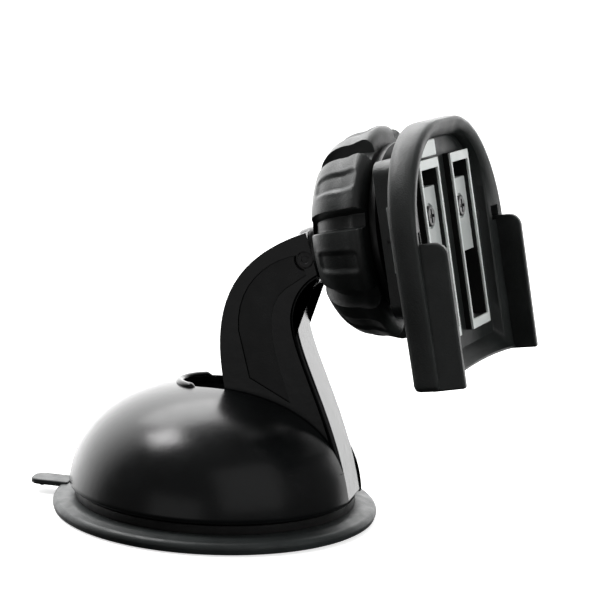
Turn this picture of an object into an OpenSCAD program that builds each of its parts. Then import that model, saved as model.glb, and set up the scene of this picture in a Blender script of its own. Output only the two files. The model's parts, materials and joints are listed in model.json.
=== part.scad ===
// Windscreen and dashboard suction mount with a ball-jointed cradle for a portable GPS navigator.
// Frame: origin at the centre of the pad's underside, +Z up, +X the way the arm and cradle reach.
// The lever arm stands in its locked place, with the cup's core pulled up.

/* [Suction pad] */
// Radius of the rubber pad
pad_r = 40; // [39:0.5:42]
// Thickness of the pad at its rim
pad_t = 3.4; // [3:0.1:4]
// Radius inside which the pad is a thin membrane
membrane_r = 26; // [25:0.5:27]
// Reach of the release tab beyond the rim
tab_reach = 7.8; // [5:0.1:10]
// Width of the release tab
tab_w = 7; // [5:0.5:9]

/* [Dome] */
// Radius of the dome housing
dome_r = 36; // [35.5:0.1:36.5]
// Height of the dome's lower edge
dome_base_z = 6.2; // [6:0.1:6.6]
// Height of the dome's top
dome_top_z = 32.4; // [32:0.1:33]
// Half-width of the flat crown, which sets how round the dome is
crown_mid = 17; // [15:0.5:19]
// Height to which the dome's side stays steep
crown_high = 25.5; // [24:0.5:27]
// Wall thickness of the dome
dome_wall = 2.2; // [1.8:0.1:2.6]
// Half-width of the slot that the arm stands in
slot_hw = 7.2; // [7.1:0.05:7.4]
// Place of the round rear end of the slot
slot_rear_x = -2; // [-3:0.1:-1.5]

/* [Lever arm] */
// Half-width of the arm
arm_hw = 6.5; // [6.2:0.05:6.6]
// Forward place of the hinge
hinge_x = 5; // [4.8:0.1:5.2]
// Height of the hinge
hinge_z = 20; // [19.8:0.1:20.2]
// Distance from the hinge to the eye that lifts the post
eye_reach = 5.12; // [5.1:0.01:5.15]
// Height of the lift pin above the hinge when locked
lift_pin_dz = 1.24; // [1.2:0.01:1.28]
// Thickness of the glossy strap along the front of the arm
strap_t = 1.6; // [1.2:0.1:2]
// Thickness of the inset panel on each side of the arm
panel_t = 0.9; // [0.7:0.1:1.2]

/* [Ball joint] */
// Forward place of the ball's centre
ball_x = 38.8; // [38.5:0.1:39.2]
// Height of the ball's centre
ball_z = 72; // [71.5:0.1:72.5]
// Radius of the ball
ball_r = 8.5; // [8.3:0.1:8.6]
// Radius of the ball's stem
stem_r = 3.5; // [3:0.1:3.8]
// Slope of the stem above the horizontal
stem_slope = 22; // [21:0.1:23]
// Turn of the head about the vertical, towards +Y
head_turn = -8.7; // [-9.5:0.1:-8]
// Backward lean of the head
head_lean = 11.6; // [11:0.1:12.5]

/* [Clamp nut] */
// Greatest radius of the nut
nut_r = 25.4; // [25:0.1:26]
// Number of grip lobes
lobes = 8; // [6:1:9]
// Turn of the lobes about the nut's axis
lobe_turn = 31; // [0:1:44]
// Width of the valleys between lobes
valley_w = 5; // [3:0.1:6]
// Depth of the valleys
valley_d = 2.4; // [1.5:0.1:2.8]

/* [Cradle] */
// Half-width of the cradle plate
cradle_hw = 31; // [30.5:0.1:31.5]
// Distance from the ball's centre to the cradle's front face
cradle_front = 20; // [19.8:0.1:20.2]
// Thickness of the cradle plate
cradle_t = 6.4; // [6.2:0.1:6.6]
// Distance from the ball's axis down to the cradle's lower edge
cradle_below = 34.3; // [34:0.1:34.6]
// Distance from the ball's axis up to the cradle's top
cradle_above = 25.1; // [25:0.1:26]
// Radius of the cradle's top corners
cradle_corner = 26; // [22:0.5:27]
// Height of the side wings
wing_h = 33.3; // [30:0.1:35]
// Reach of the side wings in front of the plate
wing_reach = 5.6; // [5:0.1:6.5]
// Thickness of the side wings
wing_t = 1.8; // [1.5:0.1:2.2]

/* [Hidden] */
$fn = 96;

eps = 0.01;
ring_top_z = 5.6;
ring_r = 34.6;
ring_hole_r = 20;
upstand_r = 33.2;
upstand_t = 1.8;
upstand_top_z = 9;
seam_gap = 0.08;
channel_wall = 1.5;
channel_low_z = 14.2;
channel_open_x = 27;
boss_r = 3;
boss_ring_r = 27.6;
screw_r = 1.25;
screw_head_r = 2.3;
pin_r = 1.5;
pin_half = 11.5;
hinge_play = 0.05;
lift_pin_r = 1.25;
lift_pin_half = 6.2;
eye_play = 0.35;
post_r = 3;
post_top_z = hinge_z + lift_pin_dz + 2.4;
cheek_gap = 3.6;
core_r = 10;
core_z = 4.5;
core_t = 2;
bridge_z = 12;
bridge_t = 1.5;
bridge_half = 24;
bridge_w = 12;
bridge_leg = 2.5;
spring_wire = 0.45;
spring_turns = 4;
spring_low_r = 8;
spring_high_r = 4.4;
eye_slope = asin(lift_pin_dz / eye_reach);
eye_x = hinge_x - eye_reach * cos(eye_slope);
eye_z = hinge_z + eye_reach * sin(eye_slope);
neck_end = 15.6;
stem_depth = 11;
stud_screw_in = 2.9;
liner_r = 9.5;
liner_hole = 2.5;
socket_in_r = 9.7;
nut_front = 4.8;
nut_back = -10.7;
nut_shoulder_x = -1.4;
nut_shoulder_r = 9.5;
flange_x = 5.2;
flange_t = 1.6;
flange_r = 21;
boss_out_r = 18.5;
thread_r = 16.2;
nut_bore_r = 16.5;
collet_r = 13.4;
plate_t = 2;
plate_hw = 25;
plate_low = -7.3;
plate_high = 7.7;
plate_screw_y = 12;
cradle_screw_y = 21.8;
pocket_depth = 4;
pocket_hw = 24.2;
pocket_top = 21.1;
pocket_corner = 15;
recess_depth = 1.4;
recess_hw = 27;
recess_top = 22.9;
recess_corner = 20;
lip_rise = 1.8;
lip_arc_r = 250;
pocket_sill = 4.6;
rail_in = 4.4;
rail_out = 17.2;
rail_low = -25.5;
rail_high = 16.7;
rail_rim = 0.85;
rail_bar = 2.3;
rail_front = 2;
crown_side = dome_r - 1.5;

// One cubic curve through the plane, as a list of points
function curve(a, b, c, d, steps = 14) =
    [for (i = [0 : steps]) let (t = i / steps, s = 1 - t)
        s * s * s * a + 3 * s * s * t * b + 3 * s * t * t * c + t * t * t * d];

function tail(points) = [for (i = [1 : len(points) - 1]) points[i]];

// Back of the arm, from the hinge up to the neck
arm_back = concat(curve([4.6, 27], [1.2, 38], [-0.6, 50.5], [5.6, 59.8]),
                  tail(curve([5.6, 59.8], [9.6, 65.8], [16, 69.4], [21.6, 71.6])));
// Front of the arm, from the neck down to the strap's foot
arm_front = concat(curve([25.6, 60.2], [22, 57.6], [20.2, 54.5], [20.3, 50.5]),
                   tail(curve([20.3, 50.5], [20.6, 42], [31.5, 27], [35.2, 6.6])));
// The same curve, one strap's thickness further in
strap_back = concat(curve([25.6 - strap_t * 0.5, 60.2 + strap_t], [22 - strap_t, 57.6 + strap_t],
                          [20.2 - strap_t, 54.5], [20.3 - strap_t, 50.5]),
                    tail(curve([20.3 - strap_t, 50.5], [20.6 - strap_t, 42],
                               [31.5 - strap_t, 27], [35.2 - strap_t, 6.6])));
arm_inside = [[31.4, 7.2], [24, 12.5], [5, 15.4]];
panel_edge = concat(curve([20.2, 66.2], [12, 64.4], [4.6, 57.5], [6, 46.5], 10),
                    [[9.2, 35.2], [19.6, 30]],
                    tail(curve([19.6, 30], [17, 38], [10, 52], [17.4, 57.8], 10)),
                    [[22.2, 61.4]]);

// Extrudes an outline drawn in X and Z across Y, from y0 to y1
module across(y0, y1) {
    translate([0, y1, 0]) rotate([90, 0, 0]) linear_extrude(height = y1 - y0) children();
}

// Round bar along Y
module bar_y(r, x, z, y0, y1) {
    translate([x, y1, z]) rotate([90, 0, 0]) cylinder(r = r, h = y1 - y0);
}

// Places children in the head: +X out of the cradle's face, +Z up the cradle, origin at the ball
module in_head() {
    translate([ball_x, 0, ball_z]) rotate([0, 0, head_turn]) rotate([0, -head_lean, 0]) children();
}

// Turns a solid of revolution so that its axis is the head's +X
module along_x() {
    rotate([0, 90, 0]) children();
}

// Cylinder along the head's X, from x0 to x1
module round_x(r, x0, x1) {
    translate([x0, 0, 0]) along_x() cylinder(r = r, h = x1 - x0);
}

// Places children on the arm's neck: +X out along the stem, origin at the ball
module on_stem() {
    translate([ball_x, 0, ball_z]) rotate([0, -stem_slope, 0]) children();
}

// Solid dome, t inside the housing's outer surface, from low up
module dome_fill(t, low) {
    side = dome_r - t;
    rotate_extrude() polygon(concat([[0, low]], curve([side, low],
        [crown_side - t, crown_high - t / 2], [crown_mid, dome_top_z + 0.2 - t],
        [0, dome_top_z - t], 12)));
}

// Prism of the arm's slot, grown by t, over a range of heights
module slot_prism(t, z0, z1) {
    translate([slot_rear_x, 0, z0]) cylinder(r = slot_hw + t, h = z1 - z0);
    translate([slot_rear_x, -slot_hw - t, z0]) cube([60, 2 * (slot_hw + t), z1 - z0]);
}

// One of the four screw places in the base, as a child per corner
module at_corners() {
    for (a = [45 : 90 : 315]) rotate([0, 0, a]) translate([boss_ring_r, 0, 0]) children();
}

module pad_section() {
    edge = 1.1;
    difference() {
        union() {
            translate([membrane_r, 0]) square([pad_r - edge - membrane_r, pad_t]);
            translate([pad_r - edge - eps, 0]) square([edge + eps, pad_t - edge]);
            translate([pad_r - edge, pad_t - edge]) circle(r = edge);
        }
        translate([pad_r - 0.3, -eps]) square([1, 0.3]);
    }
}

module suction_pad() color([0.13, 0.13, 0.13]) {
    tip_r = 2;
    nib_in = 2.2;
    rotate_extrude($fn = 180) pad_section();
    translate([-pad_r - tab_reach + tip_r, -tab_w / 2, pad_t - 1.4])
        cube([tab_reach + 2, tab_w, 1.4]);
    for (s = [-1, 1]) translate([-pad_r - tab_reach + tip_r, s * (tab_w / 2 - tip_r), pad_t - 1.4])
        cylinder(r = tip_r, h = 1.4);
    translate([-pad_r - tab_reach, tip_r - tab_w / 2, pad_t - 1.4])
        cube([tip_r, tab_w - 2 * tip_r, 1.4]);
    translate([-pad_r - tab_reach + nib_in, 0, pad_t - 2.3]) cylinder(r1 = 0.7, r2 = 1.2, h = 1);
}

// Thin centre of the pad, drawn up into a shallow cone
module pad_membrane() color([0.13, 0.13, 0.13]) {
    skin = 1.4;
    low = 0.5;
    rotate_extrude() polygon([[0, core_z - skin], [core_r, core_z - skin], [membrane_r, low],
                              [membrane_r, low + skin], [core_r, core_z], [0, core_z]]);
}

module base_ring() color([0.08, 0.08, 0.08]) difference() {
    union() {
        translate([0, 0, pad_t]) cylinder(r = ring_r, h = ring_top_z - pad_t);
        translate([0, 0, pad_t]) cylinder(r = upstand_r, h = upstand_top_z - pad_t);
    }
    translate([0, 0, ring_top_z]) cylinder(r = upstand_r - upstand_t, h = upstand_top_z);
    translate([0, 0, pad_t - eps]) cylinder(r = ring_hole_r, h = upstand_top_z);
    translate([0, -slot_hw - channel_wall - 0.3, ring_top_z])
        cube([dome_r, 2 * (slot_hw + channel_wall + 0.3), upstand_top_z]);
    at_corners() {
        translate([0, 0, pad_t - eps]) cylinder(r = screw_r + 0.2, h = 10);
        translate([0, 0, pad_t - eps]) cylinder(r = screw_head_r + 0.2, h = 1.2 + eps);
    }
}

// Bridge across the base that guides the post and seats the spring
module guide_bridge() color([0.3, 0.3, 0.3]) difference() {
    union() {
        translate([-bridge_w / 2, -bridge_half, bridge_z]) cube([bridge_w, 2 * bridge_half, bridge_t]);
        for (s = [-1, 1]) translate([-bridge_w / 2, s * (bridge_half - bridge_leg / 2) - bridge_leg / 2,
                                     ring_top_z])
            cube([bridge_w, bridge_leg, bridge_z - ring_top_z + eps]);
    }
    translate([0, 0, bridge_z - eps]) cylinder(r = post_r + hinge_play, h = bridge_t + 2 * eps);
}

// Conical spring wire between the core plate and the bridge, swept along its coil
module return_spring() color([0.75, 0.75, 0.77]) {
    sides = 8;
    steps = 18 * spring_turns;
    low = core_z + core_t + spring_wire + 0.02;
    high = bridge_z - spring_wire - 0.02;
    points = [for (i = [0 : steps], j = [0 : sides - 1])
        let (f = i / steps, a = 360 * spring_turns * f, b = 360 * j / sides,
             r = spring_low_r + (spring_high_r - spring_low_r) * f + spring_wire * cos(b))
        [r * cos(a), r * sin(a), low + (high - low) * f + spring_wire * sin(b)]];
    walls = [for (i = [0 : steps - 1], j = [0 : sides - 1])
        let (k = (j + 1) % sides)
        [i * sides + j, (i + 1) * sides + j, (i + 1) * sides + k, i * sides + k]];
    start = [for (j = [0 : sides - 1]) j];
    end = [for (j = [sides - 1 : -1 : 0]) steps * sides + j];
    polyhedron(points = points, faces = concat([start, end], walls));
}

// Half of the dome housing on one side, with its half of the channel that the arm stands in
module dome_half(side) difference() {
    union() {
        difference() {
            dome_fill(0, dome_base_z);
            translate([0, 0, -eps]) dome_fill(dome_wall, dome_base_z);
        }
        intersection() {
            dome_fill(dome_wall / 2, dome_base_z);
            union() {
                slot_prism(channel_wall, channel_low_z, dome_top_z + 1);
                translate([channel_open_x, -slot_hw - channel_wall, dome_base_z])
                    cube([20, 2 * (slot_hw + channel_wall), 20]);
                bar_y(boss_r + 0.8, hinge_x, hinge_z, -pin_half - 0.6, pin_half + 0.6);
                at_corners() translate([0, 0, ring_top_z]) cylinder(r = boss_r, h = 30);
            }
        }
    }
    slot_prism(0, 0, dome_top_z + 5);
    bar_y(pin_r, hinge_x, hinge_z, -pin_half, pin_half);
    at_corners() translate([0, 0, ring_top_z - eps]) cylinder(r = screw_r, h = 9);
    translate([-2 * dome_r, side > 0 ? -2 * dome_r + seam_gap : -seam_gap, -eps])
        cube([4 * dome_r, 2 * dome_r, 2 * dome_r]);
}

module dome_left() color([0.04, 0.04, 0.05]) dome_half(-1);

module dome_right() color([0.04, 0.04, 0.05]) dome_half(1);

module lever_pin() color([0.7, 0.7, 0.72]) bar_y(pin_r, hinge_x, hinge_z, -pin_half, pin_half);

module housing_screws() color([0.6, 0.6, 0.62]) at_corners() difference() {
    union() {
        translate([0, 0, pad_t + 0.1]) cylinder(r = screw_head_r, h = 1.1);
        translate([0, 0, pad_t + 0.1]) cylinder(r = screw_r, h = 9);
    }
    translate([0, 0, pad_t]) cylinder(r = 1, h = 0.8, $fn = 6);
}

module core_plate() color([0.2, 0.2, 0.2]) difference() {
    translate([0, 0, core_z]) cylinder(r = core_r, h = core_t);
    translate([0, 0, core_z + core_t - 1]) cylinder(r = 4.2, h = 2);
}

module pull_post() color([0.2, 0.2, 0.2]) difference() {
    union() {
        translate([0, 0, core_z + core_t - 1]) cylinder(r = post_r, h = post_top_z - core_z - core_t + 1);
        translate([0, 0, core_z + core_t - 1]) cylinder(r = 4.2, h = 1);
    }
    bar_y(lift_pin_r, 0, hinge_z + lift_pin_dz, -post_r - 1, post_r + 1);
}

module lift_pin() color([0.7, 0.7, 0.72])
    bar_y(lift_pin_r, 0, hinge_z + lift_pin_dz, -lift_pin_half, lift_pin_half);

module panel_outline() polygon(panel_edge);

// Solid of the arm before it is bored: web, hinge barrel and the two eyes of the lift lever
module arm_blank() {
    across(-arm_hw, arm_hw) polygon(concat(arm_back, strap_back, arm_inside));
    bar_y(4.6, hinge_x, hinge_z, -arm_hw, arm_hw);
    bar_y(3.2, eye_x, eye_z, -arm_hw, arm_hw);
    across(-arm_hw, arm_hw)
        polygon([[hinge_x, hinge_z - 4.2], [eye_x, eye_z - 2.9], [eye_x, eye_z + 2.9],
                 [4.75, 27.6], [12, 27.6], [12, 16]]);
}

module arm_body() color([0.05, 0.05, 0.06]) difference() {
    arm_blank();
    bar_y(pin_r + hinge_play, hinge_x, hinge_z, -arm_hw - 1, arm_hw + 1);
    bar_y(lift_pin_r + eye_play, eye_x, eye_z, -arm_hw - 1, arm_hw + 1);
    translate([-6, -cheek_gap, 10]) cube([14.5, 2 * cheek_gap, 17]);
    for (s = [-1, 1]) translate([0, s * arm_hw, 0]) across(-panel_t - 0.4, panel_t + 0.4) panel_outline();
    on_stem() {
        round_x(stem_r, -neck_end - stem_depth, 0);
        translate([-neck_end - stud_screw_in, 0, 0]) {
            bar_y(screw_r, 0, 0, -arm_hw - 1, arm_hw + 1);
            bar_y(2.1, 0, 0, -arm_hw - 1, 1.4 - arm_hw);
            translate([0, arm_hw + 1, 0]) rotate([90, 0, 0]) cylinder(r = 2.6, h = 2.9, $fn = 6);
        }
    }
}

module arm_panel(side) difference() {
    translate([0, side * (arm_hw - 0.4 - panel_t / 2), 0]) across(-panel_t / 2, panel_t / 2)
        panel_outline();
    on_stem() translate([-neck_end - stud_screw_in, 0, 0])
        bar_y(2.6, 0, 0, -arm_hw - 1, arm_hw + 1);
}

module arm_panel_left() color([0.07, 0.07, 0.08]) arm_panel(-1);

module arm_panel_right() color([0.07, 0.07, 0.08]) arm_panel(1);

module arm_strap() color([0.05, 0.05, 0.06]) {
    inner = [for (i = [len(strap_back) - 1 : -1 : 0]) strap_back[i]];
    across(-arm_hw, arm_hw) polygon(concat(arm_front, inner));
}

module ball_stud() color([0.1, 0.1, 0.1]) on_stem() difference() {
    union() {
        sphere(r = ball_r);
        round_x(stem_r, -neck_end - stem_depth, -ball_r + 2);
    }
    translate([-neck_end - stud_screw_in, 0, 0]) bar_y(screw_r, 0, 0, -stem_r - 1, stem_r + 1);
    round_x(1.2, ball_r - 3, ball_r + 1);
}

module stud_screw() color([0.15, 0.15, 0.15]) on_stem()
    translate([-neck_end - stud_screw_in, 0, 0]) difference() {
        union() {
            bar_y(screw_r, 0, 0, 0.4 - arm_hw, arm_hw - 0.2);
            bar_y(1.9, 0, 0, 0.2 - arm_hw, 1.4 - arm_hw);
        }
        translate([0, 1 - arm_hw, 0]) rotate([90, 0, 0]) cylinder(r = 0.9, h = 2, $fn = 6);
    }

module stud_nut() color([0.6, 0.6, 0.62]) on_stem()
    translate([-neck_end - stud_screw_in, 0, 0]) difference() {
        translate([0, arm_hw - 0.3, 0]) rotate([90, 0, 0]) cylinder(r = 2.5, h = 1.5, $fn = 6);
        bar_y(screw_r, 0, 0, 0, arm_hw + 1);
    }

// Spherical shell round the ball, kept between two planes across the head's axis
module liner(x0, x1) {
    along_x() rotate_extrude() intersection() {
        difference() {
            circle(r = liner_r);
            circle(r = ball_r + hinge_play);
        }
        translate([liner_hole, x0]) square([liner_r, x1 - x0]);
    }
}

module liner_front() color([0.85, 0.85, 0.82]) in_head() liner(5.6, liner_r + 1);

module liner_rear() color([0.85, 0.85, 0.82]) in_head() liner(-4.4, 1.6);

// Half outline of the socket: X is the radius and Y the place along the axis
module socket_section() {
    boss_top = cradle_front - cradle_t - plate_t;
    difference() {
        polygon([[0, boss_top], [boss_out_r, boss_top], [boss_out_r, flange_x + flange_t],
                 [flange_r, flange_x + flange_t], [flange_r, flange_x], [thread_r, flange_x],
                 [thread_r, -0.5], [collet_r, -0.5], [collet_r, -3.6], [collet_r - 1.8, -5], [0, -5]]);
        circle(r = socket_in_r);
        translate([0, -6]) square([8.9, 4]);
    }
}

module ball_socket() color([0.07, 0.07, 0.07]) in_head() difference() {
    along_x() rotate_extrude() socket_section();
    for (a = [0 : 45 : 135]) rotate([a, 0, 0]) translate([-6, -collet_r - 5, -0.6])
        cube([5.4, 2 * collet_r + 10, 1.2]);
    for (s = [-1, 1]) translate([0, s * plate_screw_y, (plate_low + plate_high) / 2])
        round_x(screw_r, flange_x + 1, cradle_front);
}

module clamp_ring() color([0.8, 0.8, 0.78]) in_head() difference() {
    round_x(14, -7.1, -5.4);
    translate([-7.2, 0, 0]) along_x() cylinder(r = 10, h = 2);
}

// Half outline of the nut: X is the radius and Y the place along the axis
module nut_section() {
    front_round = 2.4;
    difference() {
        union() {
            intersection() {
                translate([nut_r - 1 - nut_shoulder_r, nut_shoulder_x]) circle(r = nut_shoulder_r);
                translate([0, nut_back]) square([nut_r, nut_shoulder_x - nut_back]);
            }
            polygon([[8, nut_back], [nut_r - 1 - nut_shoulder_r, nut_back],
                     [nut_r - 1 - nut_shoulder_r + eps, nut_shoulder_x], [nut_r - 1, nut_shoulder_x],
                     [nut_r, nut_front - front_round], [nut_r - front_round, nut_front], [8, nut_front]]);
            translate([nut_r - front_round, nut_front - front_round]) circle(r = front_round);
        }
        polygon([[0, nut_back - 1], [15.4, nut_back - 1], [12.6, -9.6], [12.6, -8.5], [14.4, -8.5],
                 [14.4, -1], [nut_bore_r, -1], [nut_bore_r, 9], [0, 9]]);
    }
}

module clamp_nut() color([0.09, 0.09, 0.09]) in_head() difference() {
    along_x() rotate_extrude($fn = 144) nut_section();
    for (i = [0 : lobes - 1]) rotate([lobe_turn + 360 / lobes * i, 0, 0]) {
        translate([nut_shoulder_x - 3, nut_r - valley_d, -valley_w / 2])
            cube([30, valley_d + 5, valley_w]);
        rotate([180 / lobes, 0, 0]) translate([-7.4, nut_r - 0.6 - 0.5, -3.6]) cube([8.6, 5, 7.2]);
    }
}

module mount_plate() color([0.45, 0.46, 0.46]) in_head() difference() {
    translate([cradle_front - cradle_t - plate_t, -plate_hw, plate_low])
        cube([plate_t, 2 * plate_hw, plate_high - plate_low]);
    for (s = [-1, 1]) {
        translate([0, s * plate_screw_y, (plate_low + plate_high) / 2])
            round_x(screw_r + 0.2, 0, cradle_front);
        translate([0, s * cradle_screw_y, (plate_low + plate_high) / 2])
            round_x(screw_r + 0.2, 0, cradle_front);
    }
}

// Screw along the head's X with its head at x, its shank running forwards or backwards
module screw_x(x, dir, length) {
    head_h = 1.2;
    difference() {
        union() {
            round_x(screw_head_r, min(x, x + dir * head_h), max(x, x + dir * head_h));
            round_x(screw_r, min(x, x + dir * length), max(x, x + dir * length));
        }
        for (a = [0, 90]) rotate([a, 0, 0]) translate([x - 0.6, -1.6, -0.3]) cube([1.2, 3.2, 0.6]);
    }
}

module plate_screws() color([0.3, 0.3, 0.3]) in_head() for (s = [-1, 1])
    translate([0, s * plate_screw_y, (plate_low + plate_high) / 2])
        screw_x(cradle_front - cradle_t + 1.2, -1, 8);

module cradle_screws() color([0.3, 0.3, 0.3]) in_head() for (s = [-1, 1])
    translate([0, s * cradle_screw_y, (plate_low + plate_high) / 2])
        screw_x(cradle_front - cradle_t - plate_t - 1.2, 1, 6.4);

// Plate outline with square bottom corners and round top corners, as Y and Z
module arch_outline(hw, low, high, corner) {
    translate([-hw, low]) square([2 * hw, high - corner - low]);
    translate([corner - hw, low]) square([2 * (hw - corner), high - low]);
    for (s = [-1, 1]) translate([s * (hw - corner), high - corner]) circle(r = corner);
}

// Extrudes an outline drawn in the head's Y and Z along X, from x0 to x1
module facing(x0, x1) {
    translate([x0, 0, 0]) rotate([90, 0, 90]) linear_extrude(height = x1 - x0) children();
}

module wing(side) {
    toe_in = 1.3;
    back = cradle_front - 2;
    front = cradle_front + wing_reach;
    outer = cradle_hw - 1.5;
    corner = 3;
    intersection() {
        translate([0, 0, -cradle_below]) linear_extrude(height = wing_h)
            polygon([[back, side * outer], [cradle_front, side * outer], [front, side * (outer - toe_in)],
                     [front, side * (outer - toe_in - wing_t)], [back, side * (outer - wing_t)]]);
        union() {
            across(-40, 40) {
                translate([back, -cradle_below]) square([front - back, wing_h - corner]);
                translate([back, -cradle_below]) square([front - back - corner, wing_h]);
                translate([front - corner, wing_h - cradle_below - corner]) circle(r = corner);
            }
        }
    }
}

module cradle() color([0.1, 0.1, 0.1]) in_head() {
    back = cradle_front - cradle_t;
    notch_w = 2;
    difference() {
        facing(back, cradle_front) arch_outline(cradle_hw, -cradle_below, cradle_above, cradle_corner);
        facing(cradle_front - pocket_depth, cradle_front + 1)
            arch_outline(pocket_hw, pocket_sill - cradle_below, pocket_top, pocket_corner);
        facing(cradle_front - recess_depth, cradle_front + 1)
            arch_outline(recess_hw, wing_h - cradle_below - 2, recess_top, recess_corner);
        translate([0, 0, lip_rise - cradle_below - lip_arc_r])
            round_x(lip_arc_r, back - 1, cradle_front + 1);
        across(-pocket_hw, pocket_hw)
            polygon([[cradle_front - pocket_depth, pocket_sill - cradle_below],
                     [cradle_front + eps, pocket_sill - cradle_below + eps],
                     [cradle_front + eps, lip_rise + 0.8 - cradle_below]]);
        for (s = [-1, 1]) {
            facing(back - 1, cradle_front) translate([s > 0 ? rail_in : -rail_out, rail_low])
                square([rail_out - rail_in, rail_high - rail_low]);
            translate([0, s * cradle_screw_y, (plate_low + plate_high) / 2])
                round_x(screw_r, back - 1, back + 4.6);
            translate([cradle_front - 3, s * (cradle_hw - 4.2) - notch_w / 2, wing_h - cradle_below])
                cube([4, notch_w, 3]);
        }
    }
    for (s = [-1, 1]) wing(s);
    translate([back, -rail_out, rail_high + 0.5])
        cube([cradle_t - rail_front, rail_out - rail_in, pocket_top - rail_high]);
}

// Raised frame round one of the cradle's two long slots
module rail(side) in_head() facing(cradle_front - cradle_t, cradle_front - rail_front)
    translate([side > 0 ? rail_in : -rail_out, rail_low]) difference() {
        square([rail_out - rail_in, rail_high - rail_low]);
        translate([rail_rim, rail_bar])
            square([rail_out - rail_in - 2 * rail_rim, rail_high - rail_low - 2 * rail_bar]);
    }

module rail_left() color([0.3, 0.31, 0.31]) rail(-1);

module rail_right() color([0.3, 0.31, 0.31]) rail(1);

suction_pad();
pad_membrane();
base_ring();
guide_bridge();
return_spring();
dome_left();
dome_right();
lever_pin();
housing_screws();
core_plate();
pull_post();
lift_pin();
arm_body();
arm_panel_left();
arm_panel_right();
arm_strap();
ball_stud();
stud_screw();
stud_nut();
liner_front();
liner_rear();
ball_socket();
clamp_ring();
clamp_nut();
mount_plate();
plate_screws();
cradle();
cradle_screws();
rail_left();
rail_right();
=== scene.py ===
import json
import math

import bmesh
import bpy
from mathutils import Matrix, Vector


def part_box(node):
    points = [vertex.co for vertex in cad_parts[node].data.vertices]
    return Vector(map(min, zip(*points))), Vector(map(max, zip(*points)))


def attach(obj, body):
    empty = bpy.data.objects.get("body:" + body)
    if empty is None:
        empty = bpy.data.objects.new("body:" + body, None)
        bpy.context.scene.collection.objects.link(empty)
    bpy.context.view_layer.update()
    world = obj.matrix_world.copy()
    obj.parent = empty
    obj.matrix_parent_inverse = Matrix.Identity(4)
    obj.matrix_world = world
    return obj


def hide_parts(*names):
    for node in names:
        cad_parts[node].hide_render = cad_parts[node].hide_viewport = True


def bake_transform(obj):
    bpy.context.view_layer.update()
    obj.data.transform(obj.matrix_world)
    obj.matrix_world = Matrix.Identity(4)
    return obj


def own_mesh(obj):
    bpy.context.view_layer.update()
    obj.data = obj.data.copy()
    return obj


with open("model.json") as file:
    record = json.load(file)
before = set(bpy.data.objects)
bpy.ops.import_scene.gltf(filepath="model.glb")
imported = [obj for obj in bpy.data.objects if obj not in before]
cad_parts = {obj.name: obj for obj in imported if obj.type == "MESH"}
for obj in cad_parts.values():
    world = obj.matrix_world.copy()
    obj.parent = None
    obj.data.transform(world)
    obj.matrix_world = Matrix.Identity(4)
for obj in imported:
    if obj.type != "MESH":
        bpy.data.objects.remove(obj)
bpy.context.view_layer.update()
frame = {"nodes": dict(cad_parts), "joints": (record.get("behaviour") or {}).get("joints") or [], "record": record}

MM = 0.001
MERGE = 2e-7  # metres; closer points of a new piece become one
WELD = 2e-6  # metres; the same before edges are rounded
JOINTS = {j["name"]: j for j in frame["joints"]}
NODES = frame["nodes"]
BALL = Vector(JOINTS["head_spin"]["pos_m"])
FACING = Vector(JOINTS["head_spin"]["axis"])
ACROSS = -Vector(JOINTS["ball_tilt"]["axis"])
UPWARD = FACING.cross(ACROSS)


# ---------------------------------------------------------------- geometry helpers

def placing(origin, x, y, z):
    """Matrix from millimetres along x, y and z to metres in the row frame."""
    m = Matrix((x, y, z)).transposed().to_4x4() @ Matrix.Scale(MM, 4)
    m.translation = origin
    return m


WORLD = Matrix.Scale(MM, 4)
HEAD = placing(BALL, FACING, ACROSS, UPWARD)


def cubic(a, b, c, d, steps):
    """Points of one cubic curve through the plane."""
    out = []
    for i in range(steps + 1):
        t = i / steps
        s = 1 - t
        w = (s * s * s, 3 * s * s * t, 3 * s * t * t, t * t * t)
        out.append(tuple(sum(k * p[j] for k, p in zip(w, (a, b, c, d))) for j in range(2)))
    return out


def arc(cx, cy, r, start, end, steps):
    """Points of a circular arc, angles in degrees."""
    angles = [math.radians(start + (end - start) * i / steps) for i in range(steps + 1)]
    return [(cx + r * math.cos(a), cy + r * math.sin(a)) for a in angles]


def smooth(t):
    """Smooth step from 0 to 1."""
    t = max(0.0, min(1.0, t))
    return t * t * (3 - 2 * t)


def shade(mesh, angle):
    """Smooth shading that keeps the edges sharp where faces meet at more than angle degrees."""
    mesh.shade_smooth()
    mesh.set_sharp_from_angle(angle=math.radians(angle))


def build_mesh(name, verts, faces, place, merge=0):
    """Mesh with its faces turned outwards. verts are in millimetres in their own placing."""
    mesh = bpy.data.meshes.new(name)
    mesh.from_pydata([place @ Vector(v) for v in verts], [], faces)
    bm = bmesh.new()
    bm.from_mesh(mesh)
    if merge:
        bmesh.ops.remove_doubles(bm, verts=bm.verts, dist=merge)
    bmesh.ops.recalc_face_normals(bm, faces=bm.faces)
    bm.to_mesh(mesh)
    bm.free()
    return mesh


def add_piece(name, verts, faces, body, material, slot, place=WORLD, stands_for=(), angle=35):
    """A mesh piece of the object, given in millimetres in its own placing."""
    mesh = build_mesh(name, verts, faces, place, merge=MERGE)
    shade(mesh, angle)
    mesh.materials.append(material)
    obj = bpy.data.objects.new(name, mesh)
    bpy.context.scene.collection.objects.link(obj)
    if body:
        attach(obj, body)
    if stands_for:
        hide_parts(*stands_for)
    return obj


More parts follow.
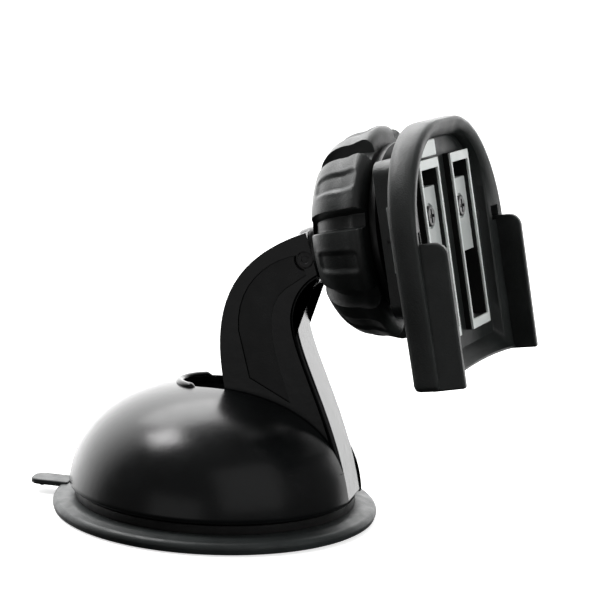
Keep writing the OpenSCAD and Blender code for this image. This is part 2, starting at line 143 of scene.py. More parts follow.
def lathe(profile, segments, start=0, sweep=360):
    """Revolves a closed outline of (radius, height) points about the third axis."""
    full = sweep == 360
    columns = segments if full else segments + 1
    verts, faces = [], []
    for i in range(columns):
        a = math.radians(start + sweep * i / segments)
        verts += [(r * math.cos(a), r * math.sin(a), z) for r, z in profile]
    n = len(profile)
    for i in range(segments):
        a, b = i * n, ((i + 1) % columns) * n
        for j in range(n):
            k = (j + 1) % n
            faces.append((a + j, b + j, b + k, a + k))
    if not full:
        faces.append(tuple(range(n - 1, -1, -1)))
        faces.append(tuple(range((columns - 1) * n, columns * n)))
    return verts, faces


def prism(outline, low, high):
    """Straight solid on an outline drawn in the first two axes."""
    n = len(outline)
    verts = [(x, y, low) for x, y in outline] + [(x, y, high) for x, y in outline]
    faces = [tuple(range(n - 1, -1, -1)), tuple(range(n, 2 * n))]
    faces += [(i, (i + 1) % n, n + (i + 1) % n, n + i) for i in range(n)]
    return verts, faces


def loft(rings):
    """Solid that skins closed rings of equal length, one after the other."""
    n = len(rings[0])
    verts = [p for ring in rings for p in ring]
    faces = []
    for i in range(len(rings) - 1):
        a, b = i * n, (i + 1) * n
        faces += [(a + j, a + (j + 1) % n, b + (j + 1) % n, b + j) for j in range(n)]
    faces.append(tuple(range(n - 1, -1, -1)))
    faces.append(tuple(range((len(rings) - 1) * n, len(rings) * n)))
    return verts, faces


def cut(obj, verts, faces, place=WORLD, operation="DIFFERENCE"):
    """Boolean of obj with a solid, applied to obj's mesh."""
    cutter = bpy.data.objects.new("cutter", build_mesh("cutter", verts, faces, place))
    bpy.context.scene.collection.objects.link(cutter)
    mod = obj.modifiers.new("cut", "BOOLEAN")
    mod.object = cutter
    mod.operation = operation
    mod.solver = "EXACT"
    apply_modifiers(obj)
    bpy.data.objects.remove(cutter)


def apply_modifiers(obj):
    """Replaces obj's mesh by the mesh its modifiers make."""
    graph = bpy.context.evaluated_depsgraph_get()
    graph.update()
    made = bpy.data.meshes.new_from_object(obj.evaluated_get(graph))
    obj.modifiers.clear()
    obj.data = made


def round_edges(obj, width, segments=3, angle=30, dissolve=True):
    """Rounds the edges sharper than angle degrees by width in millimetres."""
    weld = obj.modifiers.new("weld", "WELD")
    weld.merge_threshold = WELD
    if dissolve:
        flat = obj.modifiers.new("flat", "DECIMATE")
        flat.decimate_type = "DISSOLVE"
        flat.angle_limit = math.radians(0.4)
    bevel = obj.modifiers.new("bevel", "BEVEL")
    bevel.width = width * MM
    bevel.segments = segments
    bevel.limit_method = "ANGLE"
    bevel.angle_limit = math.radians(angle)
    bevel.harden_normals = True
    bevel.miter_outer = "MITER_ARC"


# ---------------------------------------------------------------- materials

MATERIALS = {}
NOISE_SPAN = (0.3, 0.7)  # where nearly all values of a noise texture lie


def map_range(nt, value, span, result, interpolation="LINEAR"):
    """Adds a node that maps value from span to result, and gives its output."""
    node = nt.nodes.new("ShaderNodeMapRange")
    node.interpolation_type = interpolation
    node.inputs["From Min"].default_value, node.inputs["From Max"].default_value = span
    node.inputs["To Min"].default_value, node.inputs["To Max"].default_value = result
    nt.links.new(value, node.inputs["Value"])
    return node.outputs["Result"]


def grained(name, base, rough, grain_mm, bump, tint=0.25, rough_spread=0.08, metal=0.0,
            specular=0.5, streak=1.0):
    """Moulded or metal surface: grain bump, slow colour drift and fine scuffs in the roughness."""
    drift_mm, scuff_mm, bump_share = 9.0, 3.5, 0.25
    m = bpy.data.materials.new(name + "_look")
    MATERIALS[name] = m
    m.use_nodes = True
    nt = m.node_tree
    shader = nt.nodes["Principled BSDF"]
    shader.inputs["Metallic"].default_value = metal
    shader.inputs["Specular IOR Level"].default_value = specular
    place = nt.nodes.new("ShaderNodeTexCoord")
    stretch = nt.nodes.new("ShaderNodeMapping")
    stretch.inputs["Scale"].default_value = (1, 1, streak)
    nt.links.new(place.outputs["Object"], stretch.inputs["Vector"])

    def noise(size_mm, detail):
        n = nt.nodes.new("ShaderNodeTexNoise")
        n.inputs["Scale"].default_value = 1 / (size_mm * MM)
        n.inputs["Detail"].default_value = detail
        nt.links.new(stretch.outputs["Vector"], n.inputs["Vector"])
        return n.outputs["Fac"]

    mix = nt.nodes.new("ShaderNodeMix")
    mix.data_type = "RGBA"
    mix.inputs["A"].default_value = (*[c * (1 - tint) for c in base], 1)
    mix.inputs["B"].default_value = (*[min(1, c * (1 + tint)) for c in base], 1)
    nt.links.new(map_range(nt, noise(drift_mm, 3), NOISE_SPAN, (0, 1)), mix.inputs["Factor"])
    nt.links.new(mix.outputs["Result"], shader.inputs["Base Color"])
    rough_span = (rough - rough_spread, rough + rough_spread)
    scuffs = map_range(nt, noise(scuff_mm, 4), NOISE_SPAN, rough_span)
    nt.links.new(scuffs, shader.inputs["Roughness"])
    height = nt.nodes.new("ShaderNodeBump")
    height.inputs["Strength"].default_value = bump
    height.inputs["Distance"].default_value = grain_mm * MM * bump_share
    nt.links.new(noise(grain_mm, 2), height.inputs["Height"])
    nt.links.new(height.outputs["Normal"], shader.inputs["Normal"])
    return m


# One per material slot. CAD nodes find theirs by slot; the pieces made below use the names.
RUBBER = grained("pad_rubber", (0.026, 0.030, 0.030), 0.48, 0.35, 0.6)
INNER = grained("inner_plastic", (0.008, 0.008, 0.008), 0.6, 0.4, 0.4, specular=0.3)
GLOSS = grained("housing_gloss", (0.0035, 0.004, 0.0042), 0.25, 1.6, 0.04, rough_spread=0.02)
ARM = grained("arm_gloss", (0.006, 0.0065, 0.007), 0.2, 1.4, 0.05, rough_spread=0.03)
grained("panel_satin", (0.007, 0.0075, 0.008), 0.3, 0.5, 0.12, rough_spread=0.04)
FINE = grained("cradle_plastic", (0.018, 0.0205, 0.0200), 0.44, 0.34, 0.8, rough_spread=0.05,
              specular=0.7)
NUT = grained("nut_plastic", (0.017, 0.0195, 0.0190), 0.42, 0.34, 0.75, rough_spread=0.05,
             specular=0.7)
grained("socket_plastic", (0.010, 0.0105, 0.0105), 0.38, 0.4, 0.3)
grained("stud_plastic", (0.010, 0.010, 0.010), 0.32, 0.5, 0.2)
RAIL = grained("rail_grey", (0.80, 0.84, 0.82), 0.38, 0.35, 0.25, tint=0.06)
PLATE = grained("plate_grey", (0.52, 0.55, 0.54), 0.42, 0.4, 0.25, tint=0.08)
grained("liner_white", (0.7, 0.7, 0.66), 0.4, 0.5, 0.1, tint=0.05)
grained("ring_nylon", (0.66, 0.66, 0.63), 0.38, 0.5, 0.1, tint=0.05)
grained("screw_steel", (0.5, 0.5, 0.52), 0.3, 0.3, 0.15, tint=0.1, metal=1.0)
grained("pin_steel", (0.58, 0.58, 0.6), 0.22, 0.25, 0.1, tint=0.08, metal=1.0, streak=0.15)
SPRING = grained("spring_steel", (0.6, 0.6, 0.62), 0.24, 0.2, 0.1, tint=0.08, metal=1.0)
grained("bridge_steel", (0.45, 0.45, 0.46), 0.35, 0.3, 0.15, tint=0.1, metal=1.0)
BLACKED = grained("screw_black", (0.05, 0.05, 0.05), 0.33, 0.3, 0.2, metal=0.6)

# Millimetres by which the edges of CAD nodes are rounded.
EDGE = {
    "arm_body": 0.9, "arm_panel_left": 0.25, "arm_panel_right": 0.25, "arm_strap": 1.3,
    "ball_stud": 0.3, "stud_screw": 0.15, "stud_nut": 0.2, "mount_plate": 0.25,
    "plate_screws": 0.12, "cradle_screws": 0.12, "rail_left": 0.22, "rail_right": 0.22,
    "ball_socket": 0.35, "base_ring": 0.3, "lever_pin": 0.25, "housing_screws": 0.12,
    "core_plate": 0.3, "guide_bridge": 0.25, "clamp_ring": 0.2, "lift_pin": 0.2,
}
EDGE_SEGMENTS = {"arm_strap": 5}

for part in frame["record"]["subparts"]:
    node = NODES[part["node"]]
    for holder in node.material_slots:
        holder.material = MATERIALS[part["material_slot"]]
    if part["node"] in EDGE:
        round_edges(node, EDGE[part["node"]], EDGE_SEGMENTS.get(part["node"], 3))


# ---------------------------------------------------------------- suction pad

PAD_INNER = 26  # radius at which the pad goes over into its membrane


def pad():
    """Rubber pad, its release tab and the nib on the tab."""
    profile = [(PAD_INNER, 0.5), (PAD_INNER, 0), (39.2, 0), (39.6, 0.25)]
    profile += arc(38.6, 1.5, 1.35, -25, 80, 10)
    profile += [(37.6, 2.95), (37.2, 3.15), (36.4, 3.35), (35.4, 3.4), (PAD_INNER, 3.4)]
    add_piece("pad", *lathe(profile, 240), "base", RUBBER, "pad_rubber",
              stands_for=["suction_pad"])
    root, reach, half, tip = 37.5, 47.8, 3.5, 2.6
    outline = [(-root, -half), (-root, half)]
    outline += arc(-reach + tip, half - tip, tip, 90, 180, 8)
    outline += arc(-reach + tip, tip - half, tip, 180, 270, 8)
    tab = add_piece("pad_tab", *prism(outline, 2.0, 3.4), "base", RUBBER, "pad_rubber")
    round_edges(tab, 0.4, 3)
    profile = [(0, 1.0)] + arc(0.3, 1.5, 0.5, -90, 0, 4) + [(1.0, 1.9), (1.3, 2.3), (0, 2.4)]
    verts, faces = lathe(profile, 24)
    add_piece("pad_nib", [(x - reach + 2.4, y, z) for x, y, z in verts], faces, "base", RUBBER,
              "pad_rubber")


def membrane():
    """Thin middle of the pad, which the lever draws up and lets down."""
    profile = [(0, 3.1), (9.6, 3.1)]
    profile += cubic((10.6, 3.0), (16, 2.4), (20, 1.2), (PAD_INNER, 0.5), 10)
    profile += cubic((PAD_INNER, 1.9), (20, 2.6), (16, 3.8), (10.6, 4.4), 10)
    profile += [(9.6, 4.5), (0, 4.5)]
    skin = add_piece("membrane", *lathe(profile, 120), "base", RUBBER, "pad_rubber",
                     stands_for=["pad_membrane"])
    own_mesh(skin)


def coil():
    """Conical return spring between the core and the bridge, its turns closer at the ends."""
    lowest, highest = (point.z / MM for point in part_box("return_spring"))
    turns, wire, sides, per_turn = 4, 0.45, 10, 36
    low_radius, high_radius, end_share = 8.0, 4.4, 0.35
    bottom, top = lowest + wire, highest - wire
    rings = []
    steps = turns * per_turn
    for i in range(steps + 1):
        t = i / steps
        climb = smooth(t) * end_share + t * (1 - end_share)
        radius = low_radius + (high_radius - low_radius) * t
        a = 2 * math.pi * turns * t
        z = bottom + (top - bottom) * climb
        rings.append([((radius + x) * math.cos(a), (radius + x) * math.sin(a), z + y)
                      for x, y in arc(0, 0, wire, 0, 360, sides)[:sides]])
    spring = add_piece("spring_coil", *loft(rings), None, SPRING, "spring_steel",
                       stands_for=["return_spring"], angle=80)
    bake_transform(spring)


pad()
membrane()
coil()


# ---------------------------------------------------------------- dome housing

DOME_OUT = cubic((36, 6.9), (34.5, 25.5), (17, 32.6), (0, 32.4), 72)
SLOT_HALF = 7.2  # half the width of the arm's slot
SLOT_BACK = -2.0  # centre of the slot's round rear end
SLOT_FRONT = 45  # past the dome's front
NECK_SLOPE = 22  # degrees from level, of the arm's neck and the ball's stem


def dome_height(r):
    """Height of the dome's outer surface at a radius."""
    for (r0, z0), (r1, z1) in zip(DOME_OUT, DOME_OUT[1:]):
        if r1 <= r <= r0:
            return z0 + (z1 - z0) * (r0 - r) / (r0 - r1)
    return DOME_OUT[0][1]


def slot_outline(grow):
    """Outline of the arm's slot from above, wider by grow on each side."""
    r = SLOT_HALF + grow
    return [(SLOT_FRONT, -r), (SLOT_FRONT, r)] + arc(SLOT_BACK, 0, r, 90, 270, 48)


def dome(side, name, node):
    """One half of the housing, with its half of the arm's slot."""
    seam = 0.08
    profile = [(33.8, 6.2), (35.4, 6.2), (35.8, 6.4)] + DOME_OUT
    profile += cubic((33.8, 6.6), (32.3, 24.4), (17, 30.4), (0, 30.2), 48)[::-1]
    verts, faces = lathe(profile, 150, 0 if side > 0 else 180, 180)
    verts = [(x, y + side * seam, z) for x, y, z in verts]
    half = add_piece(name, verts, faces, "base", GLOSS, "housing_gloss", stands_for=[node])
    cut(half, *prism(slot_outline(0), 0, 50))
    shade(half.data, 35)
    bevel = half.modifiers.new("bevel", "BEVEL")
    bevel.width = 0.22 * MM
    bevel.segments = 3
    bevel.limit_method = "ANGLE"
    bevel.angle_limit = math.radians(40)
    bevel.harden_normals = True


def channel():
    """Walls of the channel that the arm stands in, inside the dome."""
    floor_z, wall = 14.2, 1.5
    above_floor = cubic((34.9, 6.4), (33.4, 24.9), (17, 31.4), (0, 31.2), 48)[16:]
    verts, faces = lathe([(0, floor_z), (34.5, floor_z)] + above_floor, 96)
    inner = add_piece("dome_channel", verts, faces, "base", INNER, "inner_plastic")
    cut(inner, *prism(slot_outline(wall), 0, 50), operation="INTERSECT")
    cut(inner, *prism(slot_outline(0), -5, 55))
    shade(inner.data, 35)


def slot_lip():
    """Rounded bead round the rear end of the arm's slot, thinner towards its ends."""
    path = arc(SLOT_BACK, 0, SLOT_HALF + 0.5, 100, 260, 60)
    sides, fade_steps, thin, thick = 12, 6, 0.15, 1.0
    rings = []
    for i, (x, y) in enumerate(path):
        fade = smooth(i / fade_steps) * smooth((len(path) - 1 - i) / fade_steps)
        size = thin + (thick - thin) * fade
        out = Vector((x - SLOT_BACK, y, 0)).normalized()
        z = dome_height(math.hypot(x, y)) + 0.15 - 0.5 * (1 - fade)
        rings.append([(x + out.x * u * size, y + out.y * u * size, z + v * size * 0.8)
                      for u, v in arc(0, 0, 1, 0, 360, sides)[:sides]])
    add_piece("slot_lip", *loft(rings), "base", GLOSS, "housing_gloss", angle=80)


def neck_collar():
    """Rounded end of the arm that grips the ball's stem."""
    slope = math.radians(NECK_SLOPE)
    along = Vector((math.cos(slope), 0, math.sin(slope)))
    upright = Vector((-math.sin(slope), 0, math.cos(slope)))
    place = placing(BALL, upright, Vector((0, 1, 0)), along)
    bore, corner = 3.6, 1.3
    profile = [(bore, -19.5)] + arc(5.5, -18.2, corner, -90, 0, 6)
    profile += arc(5.5, -16.7, corner, 0, 90, 6) + [(bore, -15.4)]
    collar = add_piece("neck_collar", *lathe(profile, 72), "arm", ARM, "arm_gloss", place=place)
    box = prism([(-9, -6.2), (9, -6.2), (9, 6.2), (-9, 6.2)], -25, -10)
    cut(collar, *box, place=place, operation="INTERSECT")
    shade(collar.data, 35)
    round_edges(collar, 0.4, 3, 35, dissolve=False)


slot_lip()
neck_collar()
dome(1, "dome_half_right", "dome_right")
dome(-1, "dome_half_left", "dome_left")
channel()


# ---------------------------------------------------------------- clamp nut

NUT_R, NUT_FRONT, NUT_BACK = 25.4, 4.8, -10.7
LOBES, LOBE_TURN = 8, 31.0
LOBE_PITCH = 360 / LOBES
VALLEY_DEPTH, VALLEY_HALF = 3.2, 2.7
PAD_DEPTH, PAD_LIP = 0.5, 0.05


def nut_profile():
    """Outer outline as (radius, place along the axis), from the back face to the front face."""
    shoulder = [(r, x) for x, r in arc(-1.4, 14.9, 9.5, 168, 90, 26)]
    barrel = [(24.6, 0.0), (25.0, 1.0), (25.2, 1.8)]
    front = [(r, x) for x, r in arc(2.6, 23.2, 2.2, 90, 0, 10)]
    return ([(15.4, NUT_BACK), (16.6, NUT_BACK)] + shoulder[1:] + barrel + front
            + [(22.0, NUT_FRONT), (16.5, NUT_FRONT)])


def valley(degrees, x):
    """How far the grip valleys cut in at a place round the nut."""
    off = (degrees - LOBE_TURN + LOBE_PITCH / 2) % LOBE_PITCH - LOBE_PITCH / 2
    arc_mm = abs(math.radians(off)) * NUT_R
    return VALLEY_DEPTH * smooth((VALLEY_HALF - arc_mm) / 1.0) * smooth((x - NUT_BACK + 0.8) / 1.4)


def finger_pad(degrees, x):
    """Height of the inset pad on each lobe, with a fine raised lip round it."""
    off = (degrees - LOBE_TURN) % LOBE_PITCH - LOBE_PITCH / 2
    dy = abs(math.radians(off)) * NUT_R - 1.2
    dx = abs(x + 2.4) - 4.0
    outside = math.hypot(max(dx, 0), max(dy, 0)) + min(max(dx, dy), 0) - 1.7
    return -PAD_DEPTH * smooth(-outside / 1.3) + PAD_LIP * math.exp(-((outside - 0.3) / 0.5) ** 2)


def nut():
    """Clamp nut: its outline revolved, with valleys and finger pads pressed in."""
    outer = nut_profile()
    inner = [(16.5, -1), (14.4, -1), (14.4, -8.5), (12.6, -8.5), (12.6, -9.6)]
    profile = outer + inner
    columns, barrel_from = 720, 1.5
    verts, faces = [], []
    for i in range(columns):
        deg = 360 * i / columns
        c, s = math.cos(math.radians(deg)), math.sin(math.radians(deg))
        for j, (r, x) in enumerate(profile):
            if 1 < j < len(outer) - 2:
                depth = valley(deg, x)
                pressed = min(r, NUT_R - depth) if x > barrel_from else r - depth
                r = pressed + finger_pad(deg, x)
            verts.append((x, r * c, r * s))
    n = len(profile)
    for i in range(columns):
        a, b = i * n, ((i + 1) % columns) * n
        faces += [(a + j, b + j, b + (j + 1) % n, a + (j + 1) % n) for j in range(n)]
    add_piece("grip_nut", verts, faces, "nut", NUT, "nut_plastic", place=HEAD,
              stands_for=["clamp_nut"])


nut()


# ---------------------------------------------------------------- cradle

# The cradle is drawn in the head's own placing: depth from the ball, then sideways, then up.
LOW, HIGH, CORNER = -34.3, 25.4, 26.0
FRONT, THICK = 20.0, 6.4
BACK = FRONT - THICK
SLOT_NEAR, SLOT_FAR = 4.4, 17.2  # sideways, from the middle
SLOT_LOW, SLOT_HIGH = -25.5, 16.7
RIM_BACK, RIM_FRONT = FRONT - 2.6, FRONT - 2


def across(side, near, far):
    """Lowest and highest place sideways of something between near and far on one side."""
    return (near, far) if side > 0 else (-far, -near)


def arch(x, low_half, high_half, low, high, corner, rise):
    """Ring of the arched plate at one depth, its bottom edge bowed up by rise."""
    foot, span, side_steps = 1.4, 36, 24
    pts = []
    for i in range(span + 1):
        t = -1 + 2 * i / span
        pts.append((t * (low_half - foot), low + rise * (1 - t * t)))
    pts += arc(low_half - foot, low + foot, foot, -60, 0, 4)
    top_z = high - corner
    flank = []
    for i in range(1, side_steps):
        t = i / side_steps
        z = low + foot + (top_z - low - foot) * t
        flank.append((low_half + (high_half - low_half) * smooth(t * 1.1), z))
    pts += flank
    pts += arc(high_half - corner, top_z, corner, 0, 90, 30)
    pts += arc(corner - high_half, top_z, corner, 90, 180, 30)
    pts += [(-y, z) for y, z in reversed(flank)]
    pts += arc(foot - low_half, low + foot, foot, 180, 240, 4)
    return [(x, y, z) for y, z in pts]


def cradle_plate():
    """Arched plate with the navigator's pocket, its two long slots and the small side notches."""
    # Each ring: depth, half width at the bottom and at the top, bottom, top, corner, rise.
    rings = [
        arch(BACK, 28.2, 29.6, LOW + 1, HIGH - 1.2, CORNER - 4, 1.6),
        arch(BACK + 0.1, 28.7, 30.1, LOW + 0.5, HIGH - 0.7, CORNER - 4, 1.7),
        arch(BACK + 0.5, 29.1, 30.5, LOW + 0.15, HIGH - 0.35, CORNER - 3.8, 1.8),
        arch(BACK + 1.2, 29.4, 30.8, LOW, HIGH - 0.15, CORNER - 3.4, 1.8),
        arch(BACK + 2.4, 29.7, 31.15, LOW, HIGH, CORNER - 2.6, 1.8),
        arch(FRONT - 2.4, 29.9, 31.3, LOW, HIGH, CORNER - 1.4, 1.5),
        arch(FRONT - 1.0, 30.0, 31.3, LOW, HIGH - 0.05, CORNER - 0.8, 1.5),
        arch(FRONT - 0.35, 29.85, 31.1, LOW + 0.1, HIGH - 0.25, CORNER - 0.4, 1.5),
        arch(FRONT - 0.05, 29.5, 30.7, LOW + 0.35, HIGH - 0.7, CORNER, 1.5),
        arch(FRONT, 29.1, 30.3, LOW + 0.7, HIGH - 1.1, CORNER, 1.5),
        arch(FRONT - 0.7, 26.6, 27.2, LOW + 1.6, HIGH - 2.8, CORNER - 3.4, 1.1),
        arch(FRONT - 1.25, 24.7, 24.9, LOW + 2.4, HIGH - 3.7, CORNER - 7.4, 0.6),
        arch(FRONT - 1.42, 24.3, 24.4, LOW + 2.8, HIGH - 3.95, CORNER - 8.8, 0.3),
        arch(FRONT - 1.7, 24.05, 24.1, LOW + 3.3, HIGH - 4.2, CORNER - 9.4, 0.0),
        arch(FRONT - 3.7, 23.9, 23.95, LOW + 4.9, HIGH - 4.3, CORNER - 9.6, 0.0),
        arch(FRONT - 4.0, 23.7, 23.75, LOW + 5.2, HIGH - 4.6, CORNER - 9.8, 0.0),
    ]
    plate = add_piece("cradle_plate", *loft(rings), "head", FINE, "cradle_plastic", place=HEAD,
                      stands_for=["cradle"])
    for side in (-1, 1):
        y0, y1 = across(side, SLOT_NEAR, SLOT_FAR)
        box = [(10, y0), (30, y0), (30, y1), (10, y1)]
        cut(plate, *prism(box, SLOT_LOW, SLOT_HIGH), place=HEAD)
        y0, y1 = across(side, 25.7, 28.7)
        cut(plate, *prism([(17, y0), (30, y0), (30, y1), (17, y1)], -2.0, 1.6), place=HEAD)
    shade(plate.data, 38)


def wing(side, name):
    """Low flange on one side of the cradle that holds the navigator's edge."""
    tall, out, corner, thick = 33.3, 5.6, 3.0, 1.9
    top, back, front = LOW + tall, FRONT - 2.2, FRONT + out
    outline = [(back, LOW), (front, LOW), (front, top - corner)]
    outline += arc(front - corner, top - corner, corner, 0, 90, 10)[1:] + [(back, top)]

    def outer(x):
        return 29.6 - 1.3 * max(0, x - FRONT) / out

    verts = [(x, side * outer(x), z) for x, z in outline]
    verts += [(x, side * (outer(x) - thick), z) for x, z in outline]
    n = len(outline)
    faces = [tuple(range(n)), tuple(range(2 * n - 1, n - 1, -1))]
    faces += [(i, (i + 1) % n, n + (i + 1) % n, n + i) for i in range(n)]
    piece = add_piece(name, verts, faces, "head", FINE, "cradle_plastic", place=HEAD)
    round_edges(piece, 0.55, 4, 25, dissolve=False)


def slot_frame(side, name, start, end, wall, bar, material, stands_for=()):
    """Frame round one of the cradle's long slots, from start to end in depth."""
    y0, y1 = across(side, SLOT_NEAR, SLOT_FAR)
    z0, z1 = SLOT_LOW, SLOT_HIGH
    outer = [(y0, z0), (y1, z0), (y1, z1), (y0, z1)]
    inner = [(y0 + wall, z0 + bar), (y1 - wall, z0 + bar),
             (y1 - wall, z1 - bar), (y0 + wall, z1 - bar)]
    verts = [(x, y, z) for x in (start, end) for y, z in outer + inner]
    faces = []
    for i in range(4):
        j = (i + 1) % 4
        faces += [(i, j, 8 + j, 8 + i), (4 + i, 12 + i, 12 + j, 4 + j), (i, 4 + i, 4 + j, j),
                  (8 + i, 8 + j, 12 + j, 12 + i)]
    piece = add_piece(name, verts, faces, "head", material, "rail_grey", place=HEAD,
                      stands_for=stands_for)
    round_edges(piece, 0.14, 3, dissolve=False)


def back_block():
    """Block on the back of the cradle, open round the socket's boss."""
    half_y, half_z, corner, boss = 24.0, 18.0, 3.5, 18.9
    outline = arc(half_y - corner, half_z - corner, corner, 0, 90, 8)
    outline += arc(corner - half_y, half_z - corner, corner, 90, 180, 8)
    outline += arc(corner - half_y, corner - half_z, corner, 180, 270, 8)
    outline += arc(half_y - corner, corner - half_z, corner, 270, 360, 8)
    verts, faces = prism(outline, 9.0, BACK + 0.3)
    block = add_piece("cradle_back", [(z, x, y) for x, y, z in verts], faces, "head", FINE,
                      "cradle_plastic", place=HEAD)
    verts, faces = prism(arc(0, 0, boss, 0, 357.5, 143), 0, 30)
    cut(block, [(z, x, y) for x, y, z in verts], faces, place=HEAD)
    round_edges(block, 0.6, 3)


def slot_insert(side, name):
    """Foot of the mount plate that shows in the middle of a slot, with its cross-head screw."""
    y0, y1 = across(side, 5.5, 16.1)
    back, front = BACK + 0.05, FRONT - 3.4
    screw_y, screw_z = side * 10.8, 3.6
    outline = [(back, y0), (front, y0), (front, y1), (back, y1)]
    plate = add_piece(name, *prism(outline, -7.2, 10.4), "head", PLATE, "plate_grey", place=HEAD)
    verts, faces = lathe([(0, -0.5), (2.9, -0.5), (2.9, 0.5), (0, 0.5)], 40)
    recess = [(front + z, screw_y + x, screw_z + y) for x, y, z in verts]
    cut(plate, recess, faces, place=HEAD)
    round_edges(plate, 0.2, 2)
    verts, faces = lathe([(0, -0.45), (2.45, -0.45), (2.45, 0.1), (2.2, 0.35), (0, 0.35)], 40)
    head = [(front + z, screw_y + x, screw_z + y) for x, y, z in verts]
    screw = add_piece(name + "_screw", head, faces, "head", BLACKED, "screw_black", place=HEAD)
    for wide, tall in ((0.35, 1.6), (1.6, 0.35)):
        bar = [(front - 0.1, screw_y - wide), (front + 1, screw_y - wide),
               (front + 1, screw_y + wide), (front - 0.1, screw_y + wide)]
        cut(screw, *prism(bar, screw_z - tall, screw_z + tall), place=HEAD)
    round_edges(screw, 0.1, 2)


def index_block():
    """Small grey block above the left slot."""
    back, front, y0, y1 = FRONT - 5, FRONT - 2.1, -17.0, -4.6
    box = [(back, y0), (front, y0), (front, y1), (back, y1)]
    block = add_piece("index_block", *prism(box, 17.2, 21.0), "head", RAIL, "rail_grey",
                      place=HEAD)
    round_edges(block, 0.3, 3)


cradle_plate()
wing(1, "wing_right")
wing(-1, "wing_left")
for side, hand in ((1, "right"), (-1, "left")):
    # Near-black sleeve over the back of each slot's walls: painted shade where the grey rails' inner walls fall in
    # shadow.
    slot_frame(side, "slot_painted_shade_" + hand, BACK, RIM_BACK, 0.9, 2.35, INNER)
    slot_frame(side, "slot_rim_" + hand, RIM_BACK, RIM_FRONT, 0.85, 2.3, RAIL, ["rail_" + hand])
back_block()
slot_insert(1, "slot_insert_right")
slot_insert(-1, "slot_insert_left")
index_block()


# ---------------------------------------------------------------- floor, light and camera

def emitter(name, place, target, size, power):
    """Rectangular studio light at place, aimed at target, in metres and watts."""
    light = bpy.data.lights.new(name, "AREA")
    light.shape = "RECTANGLE"
    light.size, light.size_y = size
    light.energy = power
    obj = bpy.data.objects.new(name, light)
    obj.location = place
    aim = Vector(target) - Vector(place)
    obj.rotation_euler = aim.to_track_quat("-Z", "Y").to_euler()
    obj.visible_camera = False
    bpy.context.scene.collection.objects.link(obj)
    return obj


def studio_world():
    """White backdrop that lights by a soft gradient: bright at the back on the left, dim below."""
    brightest = Vector((-0.52, 0.80, 0.30)).normalized()
    world = bpy.data.worlds.new("studio")
    world.use_nodes = True
    nt = world.node_tree
    back = nt.nodes["Background"]
    place = nt.nodes.new("ShaderNodeTexCoord")
    facing = nt.nodes.new("ShaderNodeVectorMath")
    facing.operation = "DOT_PRODUCT"
    facing.inputs[1].default_value = brightest
    nt.links.new(place.outputs["Generated"], facing.inputs[0])
    glow = map_range(nt, facing.outputs["Value"], (0.3, 1.0), (0.10, 3.4), "SMOOTHSTEP")
    split = nt.nodes.new("ShaderNodeSeparateXYZ")
    nt.links.new(place.outputs["Generated"], split.inputs["Vector"])
    ground = map_range(nt, split.outputs["Z"], (-0.5, 0.0), (0.12, 1.0), "SMOOTHSTEP")
    light = nt.nodes.new("ShaderNodeMath")
    light.operation = "MULTIPLY"
    nt.links.new(glow, light.inputs[0])
    nt.links.new(ground, light.inputs[1])
    path = nt.nodes.new("ShaderNodeLightPath")
    seen = nt.nodes.new("ShaderNodeMix")
    seen.data_type = "FLOAT"
    seen.inputs["B"].default_value = 1.0
    nt.links.new(path.outputs["Is Camera Ray"], seen.inputs["Factor"])
    nt.links.new(light.outputs["Value"], seen.inputs["A"])
    nt.links.new(seen.outputs["Result"], back.inputs["Strength"])
    back.inputs["Color"].default_value = (1, 1, 1, 1)
    bpy.context.scene.world = world


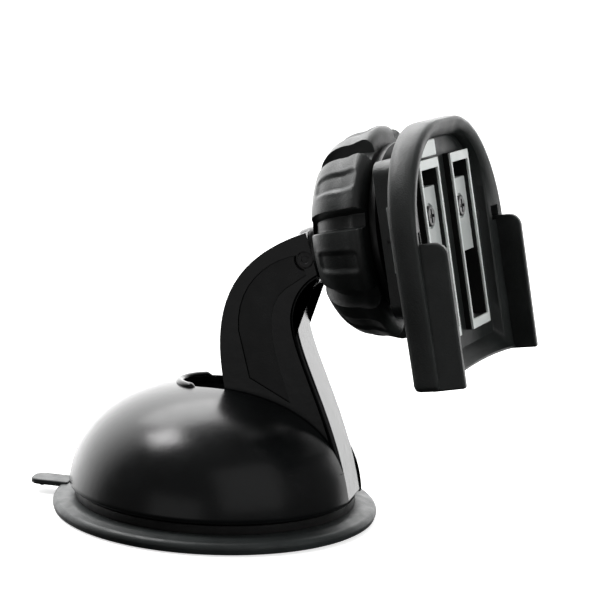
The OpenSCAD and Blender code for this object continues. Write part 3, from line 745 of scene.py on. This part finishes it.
def stage():
    """Pale floor, backdrop and studio lights."""
    half, drop, glow = 6.0, 0.0002, 0.62
    corners = [(-half, -half, 0), (half, -half, 0), (half, half, 0), (-half, half, 0)]
    mesh = bpy.data.meshes.new("floor")
    mesh.from_pydata(corners, [], [(0, 1, 2, 3)])
    pale = bpy.data.materials.new("floor_pale")
    pale.use_nodes = True
    shader = pale.node_tree.nodes["Principled BSDF"]
    shader.inputs["Base Color"].default_value = (0.9, 0.9, 0.9, 1)
    shader.inputs["Roughness"].default_value = 0.9
    shader.inputs["Specular IOR Level"].default_value = 0.0
    shader.inputs["Emission Color"].default_value = (1, 1, 1, 1)
    shader.inputs["Emission Strength"].default_value = glow
    mesh.materials.append(pale)
    floor = bpy.data.objects.new("floor", mesh)
    floor.location = (0, 0, -drop)
    floor.visible_glossy = False
    floor.visible_diffuse = False
    bpy.context.scene.collection.objects.link(floor)
    studio_world()
    bpy.context.scene.view_settings.view_transform = "Standard"
    emitter("key", (-0.44, -0.08, 0.83), (0, 0, 0.02), (0.28, 0.28), 3.2)
    emitter("panel", (0.68, 1.42, 0.1), (0.05, 0, 0.07), (1.4, 1.0), 6.0)
    side = emitter("side", (1.2, -0.3, 0.35), (0.05, 0, 0.07), (0.5, 0.5), 7)
    side.visible_glossy = False
    emitter("fill", (0.75, -0.75, 0.55), (0.03, 0, 0.06), (1.1, 1.1), 1.2)
    emitter("sky", (-0.35, 0.45, 0.95), (0.03, 0, 0.08), (0.7, 0.5), 4.5)
    emitter("front", (-0.3, -1.2, 0.0), (0.01, 0, 0.05), (0.9, 0.6), 0.45)


def camera():
    """Camera at the viewing angle: azimuth from the -Y side, elevation and roll in degrees."""
    azimuth, elevation, roll = (math.radians(a) for a in (13.69, 10.53, 2.52))
    target = Vector((19.37, 0, 54.13)) * MM
    distance = 0.53044
    data = bpy.data.cameras.new("camera")
    data.sensor_width = 36
    data.lens = 132
    data.clip_start = 0.01
    obj = bpy.data.objects.new("camera", data)
    back = Vector((math.sin(azimuth) * math.cos(elevation),
                   -math.cos(azimuth) * math.cos(elevation), math.sin(elevation)))
    right = (-back).cross(Vector((0, 0, 1))).normalized()
    up = right.cross(-back)
    turned_right = right * math.cos(roll) + up * math.sin(roll)
    turned_up = up * math.cos(roll) - right * math.sin(roll)
    m = Matrix((turned_right, turned_up, back)).transposed().to_4x4()
    m.translation = target + back * distance
    obj.matrix_world = m
    bpy.context.scene.collection.objects.link(obj)
    bpy.context.scene.camera = obj


stage()
camera()
